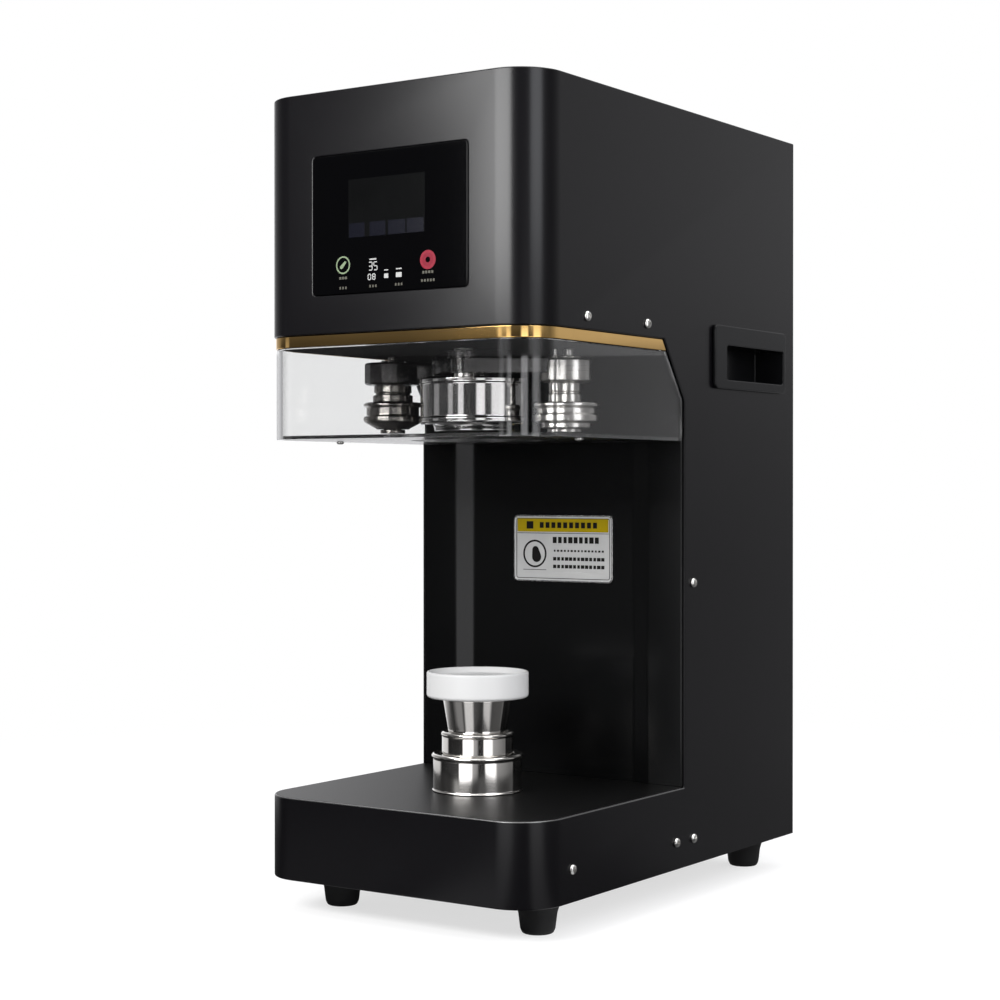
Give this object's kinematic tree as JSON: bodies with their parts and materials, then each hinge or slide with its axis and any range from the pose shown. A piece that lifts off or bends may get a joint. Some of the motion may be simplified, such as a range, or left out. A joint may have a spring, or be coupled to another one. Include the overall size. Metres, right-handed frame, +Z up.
{
  "type": "cup sealing machine",
  "caption": "Table-top cup sealing machine: C-shaped black body, powered lift with cup tray, orbiting seaming rollers behind a clear guard, touch panel and flush side handles.",
  "frame": {"origin": "centre of the box of the whole machine at the level of the undersides of its feet", "axes": "+Z up; -Y is the front, where the touch panel and the cup bay open; +X is the right-hand side seen from the front"},
  "size_m": [0.238, 0.3731, 0.565],
  "materials": {
    "body_black": "fine satin black powder coat on folded steel sheet",
    "gold_trim": "gold anodised, finely brushed along its length",
    "clear_guard": "clear polished acrylic",
    "panel_glass": null,
    "gloss_black": "moulded gloss black",
    "polished_steel": "turned and polished stainless steel",
    "dark_steel": "black-oxide turned and milled steel",
    "plated_steel": "zinc-plated steel",
    "screw_steel": "bright stainless button heads",
    "white_plastic": "satin white moulded nylon",
    "foot_rubber": "matte moulded rubber",
    "data_plate": null,
    "circuit": "solder-masked board"
  },
  "bodies": {
    "frame": {"outer_shell": "body_black", "top_cover": "body_black", "rear_cover": "body_black", "bottom_plate": "body_black", "base_deck": "body_black", "column_front_panel": "body_black", "gold_trim_band": "gold_trim", "guard_shell": "clear_guard", "guard_bottom_plate": "clear_guard", "touch_panel_glass": "panel_glass", "touch_panel_housing": "gloss_black", "handle_cup_left": "gloss_black", "handle_cup_right": "gloss_black", "power_inlet": "gloss_black", "lift_collar": "polished_steel", "seaming_chuck": "polished_steel", "head_floor_plate": "plated_steel", "spindle_housing": "plated_steel", "drive_frame": "plated_steel", "drive_motor": "plated_steel", "lift_motor": "plated_steel", "chuck_post": "plated_steel", "spindle_bearing_lower": "plated_steel", "spindle_bearing_upper": "plated_steel", "head_front_screw_left": "screw_steel", "head_rear_screw_left": "screw_steel", "column_screw_left": "screw_steel", "base_front_screw_left": "screw_steel", "base_middle_screw_left": "screw_steel", "base_rear_screw_left": "screw_steel", "head_front_screw_right": "screw_steel", "head_rear_screw_right": "screw_steel", "column_screw_right": "screw_steel", "base_front_screw_right": "screw_steel", "base_middle_screw_right": "screw_steel", "base_rear_screw_right": "screw_steel", "guard_screw_left": "screw_steel", "guard_screw_right": "screw_steel", "foot_front_left": "foot_rubber", "foot_front_right": "foot_rubber", "foot_rear_left": "foot_rubber", "foot_rear_right": "foot_rubber", "data_plate": "data_plate", "control_board": "circuit"},
    "lift_sleeve": {"lift_sleeve": "polished_steel"},
    "lift": {"lift_piston": "polished_steel", "lift_tray": "white_plastic"},
    "lift_screw": {"lift_screw": "plated_steel"},
    "turret": {"turret_spindle": "dark_steel", "turret_gear": "plated_steel", "arm_pivot_pin_left": "plated_steel", "arm_pivot_pin_right": "plated_steel"},
    "arm_left": {"roller_arm_left": "dark_steel", "roller_stud_left": "polished_steel"},
    "arm_right": {"roller_arm_right": "dark_steel", "roller_stud_right": "polished_steel"},
    "roller_left": {"seaming_roller_left": "polished_steel"},
    "roller_right": {"seaming_roller_right": "polished_steel"},
    "pinion": {"motor_pinion": "plated_steel"},
    "rocker": {"power_rocker": "gloss_black"}
  },
  "joints": [
    {"name": "lift_slide", "type": "slide", "parent": "frame", "child": "lift", "axis": [0, 0, 1], "range_m": [0, 0.085]},
    {"name": "sleeve_slide", "type": "slide", "parent": "frame", "child": "lift_sleeve", "axis": [0, 0, 1], "range_m": [0, 0.0425]},
    {"name": "lift_screw_spin", "type": "hinge", "parent": "frame", "child": "lift_screw", "pos_m": [0, -0.0825, 0.05], "axis": [0, 0, 1], "continuous": true},
    {"name": "turret_spin", "type": "hinge", "parent": "frame", "child": "turret", "pos_m": [0, -0.0825, 0.385], "axis": [0, 0, 1], "continuous": true},
    {"name": "motor_spin", "type": "hinge", "parent": "frame", "child": "pinion", "pos_m": [0, 0.0075, 0.445], "axis": [0, 0, 1], "continuous": true},
    {"name": "arm_left_swing", "type": "hinge", "parent": "turret", "child": "arm_left", "pos_m": [-0.02113, -0.03719, 0.379], "axis": [0, 0, 1], "range_deg": [0, 14]},
    {"name": "arm_right_swing", "type": "hinge", "parent": "turret", "child": "arm_right", "pos_m": [0.02113, -0.12782, 0.379], "axis": [0, 0, 1], "range_deg": [0, 14]},
    {"name": "roller_left_spin", "type": "hinge", "parent": "arm_left", "child": "roller_left", "pos_m": [-0.074, -0.0825, 0.348], "axis": [0, 0, 1], "continuous": true},
    {"name": "roller_right_spin", "type": "hinge", "parent": "arm_right", "child": "roller_right", "pos_m": [0.074, -0.0825, 0.345], "axis": [0, 0, 1], "continuous": true},
    {"name": "rocker_tilt", "type": "hinge", "parent": "frame", "child": "rocker", "pos_m": [-0.07, 0.1827, 0.082], "axis": [1, 0, 0], "range_deg": [-16, 0]}
  ],
  "couplings": [
    {"joint": "sleeve_slide", "follows": "lift_slide", "ratio": 0.5},
    {"joint": "lift_screw_spin", "follows": "lift_slide", "rad_per_m": 628.32},
    {"joint": "motor_spin", "follows": "turret_spin", "ratio": -4}
  ]
}
